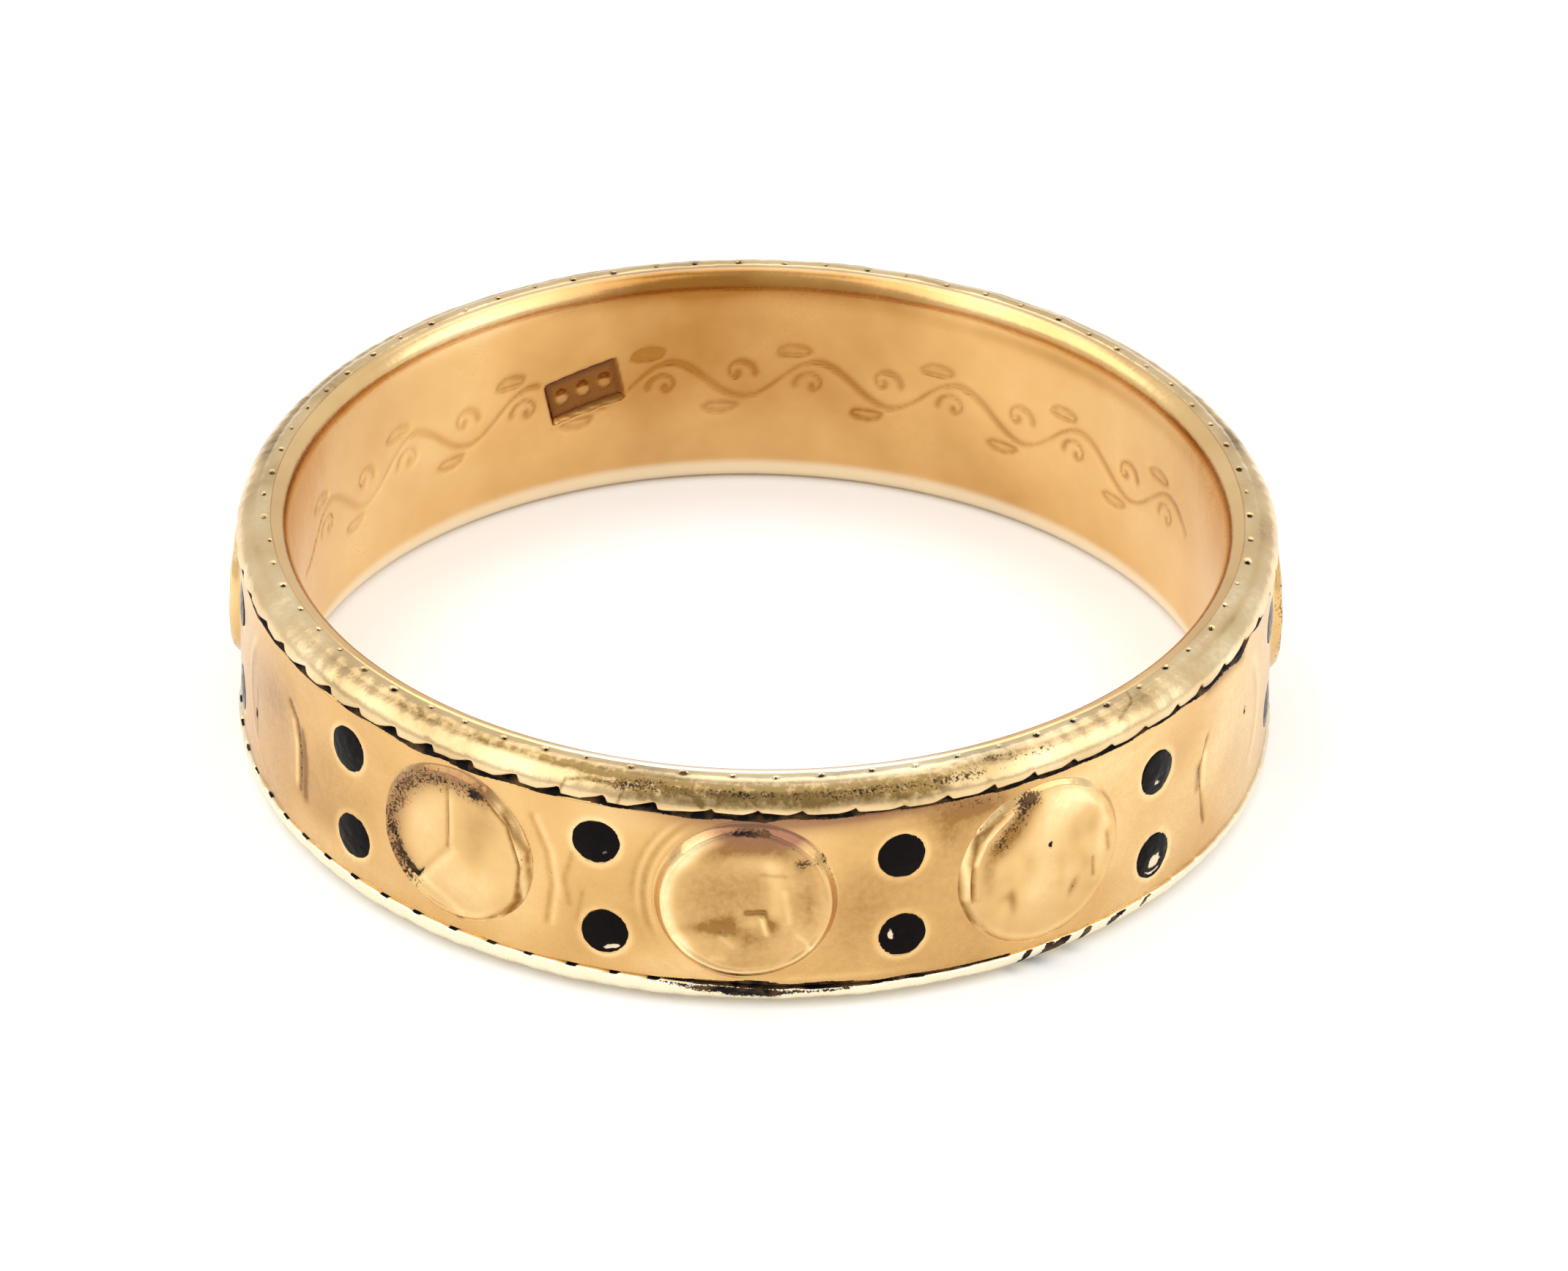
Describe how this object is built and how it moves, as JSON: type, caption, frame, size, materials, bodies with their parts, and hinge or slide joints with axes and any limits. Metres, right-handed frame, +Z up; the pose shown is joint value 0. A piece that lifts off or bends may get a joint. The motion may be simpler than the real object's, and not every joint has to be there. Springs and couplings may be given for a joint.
{
  "type": "mourning ring",
  "caption": "Gold band finger ring with twisted wire edges, raised round medallions and pairs of black enamel dots, lying on its side.",
  "frame": {"origin": "on the floor under the middle of the ring, which lies on its side", "axes": "+Z up along the ring's own axis, -Y towards the viewer of the picture, +X to the right"},
  "size_m": [0.02, 0.0197, 0.0047],
  "materials": {
    "gold": "worn polished yellow gold of about 18 carat, satin on the faces",
    "black_enamel": "glossy black vitreous enamel, slightly domed"
  },
  "bodies": {
    "root": {"band": "gold", "enamel_dot_01": "black_enamel", "enamel_dot_02": "black_enamel", "enamel_dot_03": "black_enamel", "enamel_dot_04": "black_enamel", "enamel_dot_05": "black_enamel", "enamel_dot_06": "black_enamel", "enamel_dot_07": "black_enamel", "enamel_dot_08": "black_enamel", "enamel_dot_09": "black_enamel", "enamel_dot_10": "black_enamel", "enamel_dot_11": "black_enamel", "enamel_dot_12": "black_enamel", "enamel_dot_13": "black_enamel", "enamel_dot_14": "black_enamel", "enamel_dot_15": "black_enamel", "enamel_dot_16": "black_enamel", "enamel_dot_17": "black_enamel", "enamel_dot_18": "black_enamel", "enamel_dot_19": "black_enamel", "enamel_dot_20": "black_enamel", "enamel_dot_21": "black_enamel", "enamel_dot_22": "black_enamel"}
  },
  "joints": []
}
